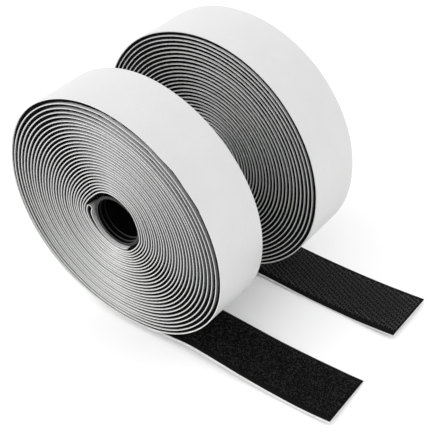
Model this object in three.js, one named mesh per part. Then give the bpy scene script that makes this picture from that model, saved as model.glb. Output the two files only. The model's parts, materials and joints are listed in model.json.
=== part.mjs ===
// A pair of rolls of self-adhesive hook and loop tape, standing on edge with their free ends laid out.
// Millimetres, +Z up. Each tape winds about a line along Y, and the free ends run out along +X.
import * as THREE from "three";

// The tape and the layers on its back, in the order they lie, from the pile out to the white liner.
// Liner and adhesive are slit together and stand a little proud of the black tape at both edges.
const linerWidth = 25;
const tapeInset = 0.4;
const tapeThickness = 0.62;
const adhesiveThickness = 0.2;
const linerThickness = 0.2;
const layerClearance = 0.15;

// Winding: how often each tape goes round
const wholeLoops = 23;
const stepsPerLoop = 20;

// The inner end passes the last whole loop by a part turn, folds inwards and runs back along it
const foldPlaceShare = 0.25;
const foldedLegShare = 0.35;
const foldSteps = 6;
const foldGap = 0.9;
const foldedLegEndGap = 0.48;

// The liner and its adhesive are whole on the outermost turn and on the free end
const coveredLoopsShare = 1.1;
const tailSteps = 9;
const rollSpacing = 28.2;

// Core: a moulded tube, a little shorter than the tape is wide, with two small steps in each mouth
const coreRadius = 11;
const coreWall = 1.1;
const coreLength = 22;
const coreEdgeChamfer = 0.3;
const boreStepHeight = 0.35;
const firstStepDepth = 1.5;
const secondStepDepth = 3.5;
const coreSides = 36;
const coreSidewaysPlay = 0.8;
const coreClearance = 0.3;

// The eye that the winding leaves holds the core, the folded leg and the slot behind it, with some slack
const eyeSlack = 0.1;
const eyeRadius = coreRadius + tapeThickness + foldGap + eyeSlack;

// The front roll carries the loop side. It is wound loosely, so its turns open out towards the rim
// and its eye has settled a little off centre.
const loopRoll = {
  name: "loop",
  radius: 52.5,
  rimPitchOverEyePitch: 1.65,
  eyeForward: 1.4,
  eyeUpward: 2,
  tailLength: 93.5,
  tailLift: 3.8,
  tailCurl: 1.1,
  liftedShare: 0.8,
  flatShare: 0.08,
  forward: 0,
  sideways: 0,
  turnedDegrees: 0,
};

// The back roll carries the hook side. Its turns are spaced almost alike, and it stands slightly turned.
const hookRoll = {
  name: "hook",
  radius: 53.8,
  rimPitchOverEyePitch: 1.08,
  eyeForward: 0,
  eyeUpward: 0,
  tailLength: 87.6,
  tailLift: 1.6,
  tailCurl: 1.8,
  liftedShare: 0.64,
  flatShare: 0.1,
  forward: 4.6,
  sideways: linerWidth + rollSpacing,
  turnedDegrees: -1.9,
};

// Depth of each layer below the outermost surface, and how far its edges lie in from the liner's
const adhesiveDepth = linerThickness + layerClearance;
const tapeDepth = adhesiveDepth + adhesiveThickness + layerClearance;
const layers = {
  liner: { top: 0, bottom: linerThickness, inset: 0 },
  adhesive: { top: adhesiveDepth, bottom: adhesiveDepth + adhesiveThickness, inset: 0 },
  tape: { top: tapeDepth, bottom: tapeDepth + tapeThickness, inset: tapeInset },
};

const stepAngle = (2 * Math.PI) / stepsPerLoop;
const cornerRatio = 1 / Math.cos(stepAngle / 2);
const foldStep = Math.round((wholeLoops + foldPlaceShare) * stepsPerLoop);
const legSteps = Math.round(foldedLegShare * stepsPerLoop);

// Directions in the face of a roll: away from its centre, and onwards along the winding.
// The winding starts at the floor, climbs on the left and comes down on the right.
const outwards = (angle) => new THREE.Vector2(-Math.sin(angle), -Math.cos(angle));
const onwards = (angle) => new THREE.Vector2(-Math.cos(angle), Math.sin(angle));
const angleOfStep = (step) => (step + 1 / 2) * stepAngle;

// Radius of the outermost layer after so many steps: the spacing of the turns falls evenly
// from the rim to the eye, and its mean brings the tape's pile down to the eye at the fold.
function windingRadius(roll, step) {
  const loops = step / stepsPerLoop;
  const allLoops = foldStep / stepsPerLoop;
  const meanPitch = (roll.radius - layers.tape.bottom - eyeRadius) / allLoops;
  const eyePitch = (2 * meanPitch) / (1 + roll.rimPitchOverEyePitch);
  const rimPitch = eyePitch * roll.rimPitchOverEyePitch;
  return roll.radius - rimPitch * loops + ((rimPitch - eyePitch) * loops ** 2) / (2 * allLoops);
}

// The turns' centre moves evenly from the roll's centre at the rim to the eye's centre at the fold
function windingCentre(roll, step) {
  const shift = new THREE.Vector2(roll.eyeForward, roll.eyeUpward).multiplyScalar(step / foldStep);
  return shift.add(new THREE.Vector2(0, roll.radius));
}

function pointOnRoll(roll, radius, step) {
  const reach = outwards(angleOfStep(step)).multiplyScalar(radius * cornerRatio);
  return windingCentre(roll, step).add(reach);
}

// The free end's underside: it lifts a little off the floor after the roll, touches down, runs flat
// and curls up at its cut end. The slope gives the direction in which the layers lie on each other.
function tailProfile(roll, x) {
  const start = roll.radius * Math.tan(stepAngle / 2);
  const touch = roll.tailLength * roll.liftedShare;
  const curlStart = touch + roll.tailLength * roll.flatShare;
  if (x < touch) {
    const phase = (Math.PI * (x - start)) / (touch - start);
    const slope = (roll.tailLift * Math.sin(2 * phase) * Math.PI) / (touch - start);
    return { z: roll.tailLift * Math.sin(phase) ** 2, slope };
  }
  if (x < curlStart) {
    return { z: 0, slope: 0 };
  }
  const reach = (x - curlStart) / (roll.tailLength - curlStart);
  return { z: roll.tailCurl * reach ** 2, slope: (2 * roll.tailCurl * reach) / (roll.tailLength - curlStart) };
}

// Places along the free end, from its cut end back to the roll, with one on each side of the flat part
function tailPlaces(roll) {
  const start = roll.radius * Math.tan(stepAngle / 2);
  const touch = roll.tailLength * roll.liftedShare;
  const curlStart = touch + roll.tailLength * roll.flatShare;
  const liftedSteps = Math.round(tailSteps * roll.liftedShare);
  const curledSteps = tailSteps - liftedSteps - 1;
  const places = [];
  for (let i = curledSteps; i > 0; i--) {
    places.push(curlStart + ((roll.tailLength - curlStart) * i) / curledSteps);
  }
  places.push(curlStart);
  for (let i = liftedSteps; i >= 0; i--) {
    places.push(start + ((touch - start) * i) / liftedSteps);
  }
  return places;
}

// A section of a layer: the two ends of a short line through its thickness
function tailSections(roll, layer) {
  return tailPlaces(roll).map((x) => {
    const { z, slope } = tailProfile(roll, x);
    const across = new THREE.Vector2(-slope, 1).normalize();
    const at = (depth) => new THREE.Vector2(x, z).addScaledVector(across, depth);
    return { outer: at(layer.top), inner: at(layer.bottom) };
  });
}

function woundSections(roll, layer, steps) {
  const sections = [];
  for (let step = 0; step <= steps; step++) {
    const radius = windingRadius(roll, step);
    const at = (depth) => pointOnRoll(roll, radius - depth, step);
    sections.push({ outer: at(layer.top), inner: at(layer.bottom) });
  }
  return sections;
}

// Radius of the pile side of a turn, and of the folded leg that runs back along the innermost turn
const pileRadius = (roll, step) => windingRadius(roll, step) - layers.tape.bottom;
function legPileRadius(roll, stepsBack) {
  const gap = THREE.MathUtils.lerp(foldGap, foldedLegEndGap, stepsBack / legSteps);
  return pileRadius(roll, foldStep - stepsBack) - gap;
}

// The inner end: half a turn inwards, then back along the innermost loop towards the floor side
function foldSections(roll) {
  const sections = [];
  const angle = angleOfStep(foldStep);
  const bendCentre = pointOnRoll(roll, pileRadius(roll, foldStep) - foldGap / 2, foldStep);
  for (let i = 1; i < foldSteps; i++) {
    const bend = (Math.PI * i) / foldSteps;
    const direction = outwards(angle).multiplyScalar(Math.cos(bend));
    direction.addScaledVector(onwards(angle), Math.sin(bend));
    const at = (radius) => bendCentre.clone().addScaledVector(direction, radius);
    sections.push({ outer: at(foldGap / 2 + tapeThickness), inner: at(foldGap / 2) });
  }
  for (let i = 0; i <= legSteps; i++) {
    const pile = legPileRadius(roll, i);
    const at = (radius) => pointOnRoll(roll, radius, foldStep - i);
    sections.push({ outer: at(pile - tapeThickness), inner: at(pile) });
  }
  return sections;
}

// A strip is one closed body: its sections carried across its width and joined end to end
function stripGeometry(sections, inset) {
  const positions = [];
  const triangles = [];
  const farEdge = linerWidth - inset;
  for (const { outer, inner } of sections) {
    positions.push(outer.x, inset, outer.y, outer.x, farEdge, outer.y);
    positions.push(inner.x, farEdge, inner.y, inner.x, inset, inner.y);
  }
  const corners = 4;
  for (let i = 0; i + 1 < sections.length; i++) {
    for (let corner = 0; corner < corners; corner++) {
      const near = i * corners + corner;
      const nearNext = i * corners + ((corner + 1) % corners);
      triangles.push(near, nearNext + corners, nearNext, near, near + corners, nearNext + corners);
    }
  }
  const last = (sections.length - 1) * corners;
  triangles.push(0, 1, 2, 0, 2, 3);
  triangles.push(last, last + 2, last + 1, last, last + 3, last + 2);
  const geometry = new THREE.BufferGeometry();
  geometry.setAttribute("position", new THREE.Float32BufferAttribute(positions, 3));
  geometry.setIndex(triangles);
  geometry.computeVertexNormals();
  return geometry;
}

// The core's half section, turned about Y: stepped bore, flat end rings, chamfered outer edges
function coreGeometry() {
  const end = coreLength / 2;
  const mouth = coreRadius - coreWall;
  const middle = mouth - boreStepHeight;
  const throat = middle - boreStepHeight;
  const oneEnd = [
    [throat, end - secondStepDepth],
    [middle, end - secondStepDepth],
    [middle, end - firstStepDepth],
    [mouth, end - firstStepDepth],
    [mouth, end],
    [coreRadius - coreEdgeChamfer, end],
    [coreRadius, end - coreEdgeChamfer],
  ];
  const otherEnd = oneEnd.map(([radius, y]) => [radius, -y]).reverse();
  const outline = [...oneEnd, ...otherEnd, oneEnd[0]].reverse();
  return new THREE.LatheGeometry(outline.map(([radius, y]) => new THREE.Vector2(radius, y)), coreSides);
}

// The core lies loose in the eye: it leans sideways by its play, and sinks until the cut end of the
// folded leg carries it
function corePlace(roll) {
  const legEnd = foldStep - legSteps;
  const towardsEnd = outwards(angleOfStep(legEnd));
  const room = legPileRadius(roll, legSteps) - tapeThickness - coreRadius - coreClearance;
  const sink = (room - coreSidewaysPlay * towardsEnd.x) / -towardsEnd.y;
  return windingCentre(roll, legEnd).add(new THREE.Vector2(coreSidewaysPlay, -sink));
}

const materials = {
  tape: new THREE.MeshStandardMaterial({ color: 0x101011, roughness: 0.95, metalness: 0, flatShading: true }),
  adhesive: new THREE.MeshStandardMaterial({ color: 0xd8d6cc, roughness: 0.5, metalness: 0, flatShading: true }),
  liner: new THREE.MeshStandardMaterial({ color: 0xe6e6e6, roughness: 0.45, metalness: 0, flatShading: true }),
  core: new THREE.MeshStandardMaterial({ color: 0x1c1c1d, roughness: 0.4, metalness: 0 }),
};

function namedMesh(roll, piece, geometry) {
  const mesh = new THREE.Mesh(geometry, materials[piece].clone());
  mesh.name = `${roll.name}_${piece}`;
  return mesh;
}

// Least gap from the wound tape to itself: points on each facet against every facet further along
// than the fold is long
function leastGapToItself(sections) {
  const facets = [];
  for (let i = 0; i + 1 < sections.length; i++) {
    for (const side of ["outer", "inner"]) {
      facets.push({ place: i, from: sections[i][side], to: sections[i + 1][side] });
    }
  }
  const pointsPerFacet = 4;
  let least = Infinity;
  for (const facet of facets) {
    for (let i = 0; i <= pointsPerFacet; i++) {
      const point = facet.from.clone().lerp(facet.to, i / pointsPerFacet);
      for (const other of facets) {
        if (Math.abs(other.place - facet.place) > foldSteps) {
          const along = other.to.clone().sub(other.from);
          const share = point.clone().sub(other.from).dot(along) / along.lengthSq();
          const nearest = other.from.clone().addScaledVector(along, THREE.MathUtils.clamp(share, 0, 1));
          least = Math.min(least, nearest.distanceTo(point));
        }
      }
    }
  }
  return least;
}

function buildRoll(roll) {
  const group = new THREE.Group();
  const coveredSteps = Math.round(coveredLoopsShare * stepsPerLoop);
  for (const piece of ["liner", "adhesive"]) {
    const layer = layers[piece];
    const sections = [...tailSections(roll, layer), ...woundSections(roll, layer, coveredSteps)];
    group.add(namedMesh(roll, piece, stripGeometry(sections, layer.inset)));
  }
  const tapeSections = [
    ...tailSections(roll, layers.tape),
    ...woundSections(roll, layers.tape, foldStep),
    ...foldSections(roll),
  ];
  group.add(namedMesh(roll, "tape", stripGeometry(tapeSections, layers.tape.inset)));
  console.log(`${roll.name}_tape least gap to itself ${leastGapToItself(tapeSections).toFixed(3)} mm`);

  const core = namedMesh(roll, "core", coreGeometry());
  const place = corePlace(roll);
  core.position.set(place.x, linerWidth / 2, place.y);
  group.add(core);

  group.position.set(roll.forward, roll.sideways, 0);
  group.rotation.z = THREE.MathUtils.degToRad(roll.turnedDegrees);
  return group;
}

// The origin is on the floor, below the middle of the pair
const pair = new THREE.Group();
pair.add(buildRoll(loopRoll), buildRoll(hookRoll));
pair.updateMatrixWorld(true);
const box = new THREE.Box3().setFromObject(pair);
const middle = box.getCenter(new THREE.Vector3());
pair.position.set(-middle.x, -middle.y, 0);

export default pair;
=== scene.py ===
"""Two rolls of self-adhesive tape, one of loops and one of hooks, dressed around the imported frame.

Curves are worked out in millimetres in a roll's own frame: x along the free end, y across the width from
the front face, z up, and zero where the roll touches the floor. A point on the tape has three numbers:
along, in turns from that place and negative on the free end; across, from the front edge; and depth, from
the liner's outer face towards the pile or the hooks. Meshes are in metres, in the frame's own axes.
"""

import json

import bpy
import numpy as np
from bpy.props import FloatProperty, FloatVectorProperty, IntProperty, PointerProperty
from bpy.types import Operator, Panel, PropertyGroup
from mathutils import Matrix


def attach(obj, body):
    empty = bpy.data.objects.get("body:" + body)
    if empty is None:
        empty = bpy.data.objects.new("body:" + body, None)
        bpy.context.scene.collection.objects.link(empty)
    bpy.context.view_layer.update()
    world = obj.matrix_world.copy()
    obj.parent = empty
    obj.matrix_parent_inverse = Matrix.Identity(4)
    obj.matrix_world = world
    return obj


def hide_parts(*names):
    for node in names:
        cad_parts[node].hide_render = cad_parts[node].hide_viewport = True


bl_info = {
    "name": "Hook and Loop Tape Rolls",
    "version": (1, 0, 0),
    "blender": (4, 5, 0),
    "location": "3D View > Sidebar > Tape",
    "description": "Two wound rolls of self-adhesive tape, one of loops and one of hooks",
    "category": "Object",
}

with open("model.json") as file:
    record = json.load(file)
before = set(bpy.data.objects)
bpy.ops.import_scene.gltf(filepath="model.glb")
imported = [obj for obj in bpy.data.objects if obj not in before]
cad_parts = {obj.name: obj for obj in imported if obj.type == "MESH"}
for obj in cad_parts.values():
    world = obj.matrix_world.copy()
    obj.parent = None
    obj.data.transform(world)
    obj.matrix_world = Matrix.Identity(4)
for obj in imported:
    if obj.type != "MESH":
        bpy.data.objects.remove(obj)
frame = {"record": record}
RECORD = frame["record"]
MM = 0.001
FULL_TURN = 2 * np.pi

# How far the loop roll's turns lie out of their spiral, in mm: the turn that a row stands for, then sixteen
# heights round from the foot. All rows but the last were solved by another program, as the best fit to the
# turns' edges in the photograph
LOOP_TURN_ROWS = [
    (0, [-2.8, -2.7, -2.1, -1.5, -0.9, -0.5, 0.3, 0.4, 0.5, 0.0, -0.6, -0.7, -0.4, 0.0, -0.2, -1.1]),
    (1, [-2.2, -2.3, -1.9, -1.4, -0.8, -0.5, 0.1, 0.2, 0.1, -0.7, -1.3, -1.4, -0.9, -0.2, -0.3, -0.8]),
    (2, [-2.3, -2.5, -2.0, -1.4, -1.0, -0.6, -0.2, 0.0, -0.4, -1.4, -1.8, -1.8, -1.2, -0.5, -0.5, -1.0]),
    (4, [-1.9, -2.2, -2.1, -1.6, -1.0, -0.6, -0.2, -0.2, -0.9, -1.9, -2.4, -2.2, -1.6, -0.9, -0.7, -1.0]),
    (5.5, [-1.6, -2.0, -2.1, -1.7, -1.2, -0.7, -0.3, -0.3, -0.7, -1.5, -2.1, -2.1, -1.7, -1.1, -0.8, -1.0]),
    (7, [-1.4, -1.7, -1.9, -1.4, -1.0, -0.7, -0.4, -0.1, -0.2, -0.8, -1.4, -1.6, -1.7, -1.1, -0.9, -1.0]),
    (10, [-1.1, -1.3, -1.4, -0.9, -0.6, -0.6, -0.3, 0.1, 0.2, -0.3, -0.8, -1.3, -1.5, -1.3, -0.9, -0.9]),
    (14, [-0.8, -0.9, -0.9, -0.5, -0.2, -0.4, -0.2, 0.3, 0.7, 0.4, -0.2, -0.9, -1.0, -1.0, -0.9, -0.9]),
    (20, [-0.9, -0.8, -0.8, -0.4, 0.0, -0.1, -0.1, 0.5, 1.1, 1.2, 0.5, -0.2, -0.5, -0.9, -1.0, -1.1]),
    (28.3, [0.05, 0.05, 0.05, 0.1, 0.6, 0.6, 0.4, 0.7, 0.9, 0.7, 0.2, -0.1, -0.1, -0.1, -0.1, 0.05]),
]
HOOK_TURN_ROWS = [(0, [0.0] * 16), (28, [0.0] * 16)]

# Sharp creases across the outer turns' near edge: turn, height, and half width in turns
LOOP_CREASES = [
    (0.6, -0.3, 0.012), (0.621, 0.7, 0.012), (0.642, -0.2, 0.012), (0.664, 0.6, 0.012),
    (1.518, 0.3, 0.012), (1.583, 0.5, 0.012), (2.598, 0.45, 0.012), (2.637, 0.5, 0.012),
    (3.592, 0.3, 0.012), (3.627, 0.3, 0.012),
]

# How far the rim's near and far edge stand out besides: share of a turn from the foot, and heights in mm. The
# hook roll's seven near heights from 0.38 to 0.82 were solved by another program in the same way
LOOP_RIM_PLACES = [-0.05, 0.0, 0.06, 0.12, 0.18, 0.25, 0.32, 0.68, 0.75, 0.81, 0.88, 0.94, 1.0, 1.05]
LOOP_RIM_NEAR = [0.0] * len(LOOP_RIM_PLACES)
LOOP_RIM_FAR = [2.5, 2.8, 2.6, 2.0, 1.2, 0.4, 0.0, 0.0, 0.2, 0.6, 1.4, 2.2, 2.8, 2.7]
HOOK_RIM_PLACES = [-0.05, 0.0, 0.1, 0.25, 0.38, 0.45, 0.52, 0.6, 0.68, 0.75, 0.82, 0.9, 1.0, 1.05]
HOOK_RIM_NEAR = [0.0, 0.0, 0.05, 0.1, 0.23, 0.08, 0.6, 0.64, 0.18, 0.05, 0.12, 0.0, 0.0, 0.0]
HOOK_RIM_FAR = [0.0, 0.0, 0.05, 0.1, 0.1, 0.1, 0.3, 0.3, 0.1, 0.0, 0.0, 0.0, 0.0, 0.0]

# Height of a free end's outer face above the floor, at distances from the foot, on its near and far edge
LOOP_END_PLACES = [0, 5, 10, 15, 19, 23, 27, 31, 37, 44, 56, 69, 81, 88, 94]
LOOP_END_NEAR = [2.8, 2.85, 3.1, 3.6, 4.0, 4.3, 4.65, 4.7, 4.25, 3.45, 2.05, 1.1, 0.8, 1.15, 1.7]
LOOP_END_FAR = [0, 0.24, 0.96, 1.9, 2.5, 2.8, 2.8, 2.6, 2.1, 1.5, 0.5, 0.05, 0.02, 0.08, 0.3]
HOOK_END_PLACES = [0, 5, 10, 15, 20, 25, 32, 40, 50, 60, 72, 80, 88]
HOOK_END_NEAR = [0, 0.24, 0.8, 1.2, 1.35, 1.3, 0.95, 0.5, 0.1, 0.05, 0.3, 0.9, 1.7]
HOOK_END_FAR = [0, 0.24, 0.7, 0.95, 1.0, 0.85, 0.5, 0.2, 0.02, 0.05, 0.4, 0.9, 1.5]

# Shape of the eye: share of a turn, and how far the innermost turns stand out of their spiral
EYE_PLACES = [
    -0.03, 0.0, 0.115, 0.153, 0.19, 0.228, 0.258, 0.286, 0.312, 0.36, 0.41, 0.46, 0.494,
    0.56, 0.6, 0.63, 0.668, 0.71, 0.753, 0.786, 0.836, 0.8875, 0.927, 0.97, 1.0, 1.03,
]
EYE_HEIGHTS = [
    -0.25, -0.3, -0.35, 0.07, 0.45, 0.9, 1.0, 0.5, -0.1, -0.7, -0.65, -0.28, -0.06,
    0.03, 0.21, 0.46, 0.17, -0.17, -0.27, -0.1, -0.38, -0.42, -0.17, -0.25, -0.3, -0.3,
]

# Room between the two backs of fabric, at distances back from the fold in turns
LEG_PLACES = [0, 0.036, 0.067, 0.097, 0.13, 0.16, 0.2, 0.36]
LEG_GAPS = [1.15, 1.05, 0.8, 0.55, 0.3, 0.14, 0.08, 0.08]

# Slow waves of a loosely wound tape: waves in a turn, height, and phase at the rim and per mm inwards
WAVES = [(3, 0.5, 0.4, 0.21), (5, 0.4, 2.1, -0.33), (8, 0.25, 4.0, 0.45), (13, 0.12, 1.0, -0.7)]
DRIFT_WAVES = [(0.31, 0.5, 1.1), (0.87, 0.3, 2.9), (2.3, 0.2, 0.3), (5.1, 0.12, 4.4), (9.7, 0.06, 2.0)]

# How the unevenness fades: how far from the eye and from the rim it reaches in mm, the power of the distance,
# and the share of the waves that is left deep in the winding
EYE_REACH, WAVE_REACH, FADE_POWER, WAVE_REST = 8, 14, 1.3, 0.12

# Sideways drift in mm, and the turns over which it, the free end's slip and the fold's slip come and go
DRIFT_HEIGHT, DRIFT_START, END_SLIP_TURNS, FOLD_SLIP_TURNS = 0.16, 0.2, 0.16, 0.1

# Painted shade in the slots, with a painted highlight left where they look up and down: the angle from the
# foot at which they, and those opposite it, are unshaded, the power that widens the shaded part, and the
# turns between which the painted shade begins
UNSHADED_ANGLE, SHADE_POWER, SHADE_TURNS = np.radians(6), 0.6, (0.85, 1.15)

# Points round a turn for the layers and for the pile, and round half a circle in the fold
LAYER_STEPS, PILE_STEPS, FOLD_STEPS = 144, 192, 16

# Half the width of the tape in its UV map, in mm
HALF_WIDTH = 12.5


# Properties


def length(name, description, millimetres):
    """A length in metres, given in mm."""
    metres = millimetres * MM
    return FloatProperty(name=name, description=description, default=metres, unit="LENGTH", precision=5)


def share(name, description, value):
    """A plain number that is a share or a ratio."""
    return FloatProperty(name=name, description=description, default=value, min=0, max=4)


def colour(name, description, grey, warm=0.0):
    """A grey, with a little more red and as much less blue."""
    value = (grey + warm, grey, grey - warm)
    limits = {"size": 3, "min": 0, "max": 1}
    return FloatVectorProperty(name=name, description=description, default=value, subtype="COLOR", **limits)


def angle_of(name, description, radians):
    """An angle, given in radians."""
    return FloatProperty(name=name, description=description, default=radians, subtype="ANGLE")


class TapeLayers(PropertyGroup):
    width: length("Liner width", "Width of the liner, the widest layer", 25)
    adhesive_inset: length("Adhesive inset", "How far the adhesive's edges lie inside the liner's", 0.05)
    liner: length("Liner thickness", "Thickness of the release film", 0.14)
    adhesive: length("Adhesive thickness", "Thickness of the adhesive film", 0.24)
    fabric: length("Fabric thickness", "Thickness of the woven nylon without pile or hooks", 0.41)
    fold_place: share("Fold place", "Share of a turn from the foot to the folded inner end", 0.282)
    folded_leg: share("Folded leg", "Share of a turn that the folded end runs back", 0.352)


class LoopRollShape(PropertyGroup):
    radius: length("Radius", "Radius of the rim", 52.5)
    eye_radius: length("Eye radius", "Radius of the liner's outer face where the tape folds back", 12.35)
    turns: IntProperty(name="Whole turns", description="Whole turns of tape in the roll", default=28)
    pitch_ratio: share("Pitch ratio", "Turn spacing at the rim over that at the eye", 1.5)
    eye_forward: length("Eye forward", "How far the eye lies off the rim's centre, along the free end", 1.73)
    eye_upward: length("Eye upward", "How far the eye lies above the rim's centre", 1.4)
    bow: length("Bow", "How far the middle turns lie off the others, along the free end", 0)
    eye_bulge: share("Eye bulge", "How much of the eye's own shape the winding shows", 1.0)
    fold_skew: length("Fold skew", "How far the fold slips inwards from the roll's face", 0.3)
    end_skew: length("End skew", "How far the free end lies back from the roll's face", 0.8)
    end_length: length("Free end", "Length of the free end from the foot", 93.5)
    turned: angle_of("Turned", "Turn about the vertical", 0.0)
    looseness: length("Looseness", "Height of the slow waves in the outer turns", 0.05)
    slack_depth: length("Slack depth", "How deep the rim's own shape reaches into the winding", 8)
    fabric_inset: length("Fabric inset", "How far the woven tape's edges lie inside the liner's", 0.6)
    pile_inset: length("Pile inset", "How far the pile lies inside the liner's edges", 1.2)
    pile_ragged: length("Ragged edge", "How uneven the pile's edge is", 0.22)


class HookRollShape(PropertyGroup):
    radius: length("Radius", "Radius of the rim", 53.8)
    eye_radius: length("Eye radius", "Radius of the liner's outer face where the tape folds back", 13.2)
    turns: IntProperty(name="Whole turns", description="Whole turns of tape in the roll", default=26)
    pitch_ratio: share("Pitch ratio", "Turn spacing at the rim over that at the eye", 1.19)
    eye_forward: length("Eye forward", "How far the eye lies off the rim's centre, along the free end", -0.2)
    eye_upward: length("Eye upward", "How far the eye lies above the rim's centre", -0.8)
    bow: length("Bow", "How far the middle turns lie off the others, along the free end", -0.66)
    eye_bulge: share("Eye bulge", "How much of the eye's own shape the winding shows", 0.2)
    fold_skew: length("Fold skew", "How far the fold slips inwards from the roll's face", 0)
    end_skew: length("End skew", "How far the free end lies back from the roll's face", 0)
    end_length: length("Free end", "Length of the free end from the foot", 87.6)
    turned: angle_of("Turned", "Turn about the vertical", np.radians(-1.9))
    looseness: length("Looseness", "Height of the slow waves in the outer turns", 0.1)
    slack_depth: length("Slack depth", "How deep the rim's own shape reaches into the winding", 30)
    fabric_inset: length("Fabric inset", "How far the woven tape's edges lie inside the liner's", 0.32)
    pile_inset: length("Hook inset", "How far the hooks lie inside the liner's edges", 0.65)
    pile_ragged: length("Ragged edge", "How uneven the hooks' edge is", 0.1)


class PileSizes(PropertyGroup):
    selvage: length("Selvage", "Plain woven border along each edge", 1.7)
    loops: IntProperty(name="Loops", description="Loops on the free end", default=4300)
    loop_height: length("Loop height", "Height of a loop above the fabric", 0.75)
    loop_thread: length("Loop thread", "Radius of a loop's thread", 0.045)
    mat_height: length("Mat height", "Height of the matted pile below the loops", 0.34)
    hook_spacing: length("Hook spacing", "Distance between hooks across the tape", 1.0)
    hook_row: length("Hook row", "Distance between rows of hooks along the tape", 1.15)
    hook_height: length("Hook height", "Height of a hook above the fabric", 1.0)
    hook_thread: length("Hook thread", "Radius of a hook's thread", 0.085)


class CoreSizes(PropertyGroup):
    radius: length("Radius", "Outside radius of the core", 10.8)
    length: length("Length", "Length of the core along its axis", 22)
    wall: length("Wall", "Thickness at the mouth", 1.1)
    step: length("Bore step", "Height of each step in the bore", 0.35)
    first_step: length("First step", "Depth of the first step", 1.5)
    second_step: length("Second step", "Depth of the second step", 3.5)
    fillet: length("Fillet", "Rounding of the moulded edges", 0.1)


class TapeColours(PropertyGroup):
    liner: colour("Liner", "Release film", 0.61)
    adhesive: colour("Adhesive", "Adhesive film's edge", 0.86, 0.004)
    lint: colour("Lint", "Lint caught on the adhesive's open margin", 0.3)
    fabric: colour("Fabric", "Woven nylon", 0.003)
    pile: colour("Pile", "Mat of matted pile", 0.002)
    loops: colour("Loops", "Loop filament", 0.034)
    hooks: colour("Hooks", "Hook filament", 0.1)
    core: colour("Core", "Moulded core", 0.002)
    # Lighter colour of the core's ends and rounded edges: partly scuff wear, partly a painted highlight
    core_edge: colour("Core's edge", "Scuffed ends and edges of the core", 0.13)
    floor: colour("Floor", "Floor", 0.97)


class StageSettings(PropertyGroup):
    focal_length: FloatProperty(
        name="Focal length",
        description="Camera's focal length for a 36 mm wide sensor",
        default=75.867,
        unit="CAMERA",
    )
    camera_place: FloatVectorProperty(
        name="Camera place",
        description="Where the camera stands",
        default=(0.178277, -0.216558, 0.259674),
        unit="LENGTH",
        precision=6,
    )
    yaw: angle_of("Yaw", "Camera's heading from +Y towards +X", -0.699076)
    pitch: angle_of("Pitch", "How far the camera looks down", 0.66825)
    roll: angle_of("Roll", "Camera's turn about its own axis", -0.091056)
    sky: FloatProperty(name="Sky", description="Strength of the even light from all around", default=1.17)
    lamp: FloatProperty(name="Lamp", description="Power of the soft lamp", default=4.5, unit="POWER")


# Curves and fields


def smooth_step(x, start, end):
    """Goes from 0 to 1 between start and end, level at both: 3t squared less 2t cubed."""
    t = np.clip((x - start) / (end - start), 0, 1)
    return t * t * (3 - 2 * t)


def through(x, places, heights):
    """A smooth curve through points: Hermite cubics whose slopes are those of the chords on either side."""
    places, heights = np.asarray(places, float), np.asarray(heights, float)
    slopes = np.gradient(heights, places)
    i = np.clip(np.searchsorted(places, x) - 1, 0, len(places) - 2)
    span = places[i + 1] - places[i]
    t = np.clip((x - places[i]) / span, 0, 1)
    rise = t * t * (3 - 2 * t)
    bend = slopes[i] * (t**3 - 2 * t * t + t) + slopes[i + 1] * (t**3 - t * t)
    return heights[i] + (heights[i + 1] - heights[i]) * rise + span * bend


def rough(rng, shape, reach, times=3):
    """An even random field between about -2 and 2: noise averaged over reach places along each axis, several
    times over, and scaled back to a spread of one."""
    field = rng.standard_normal(shape)
    for axis, count in enumerate(reach):
        kernel = np.ones(count) / count
        for _ in range(times if count > 1 else 0):
            total = np.cumsum(np.concatenate([np.take(field, range(-count, 0), axis), field], axis), axis)
            later = np.take(total, range(count, total.shape[axis]), axis)
            field = (later - np.take(total, range(total.shape[axis] - count), axis)) * kernel[0]
    return field / field.std()


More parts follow.
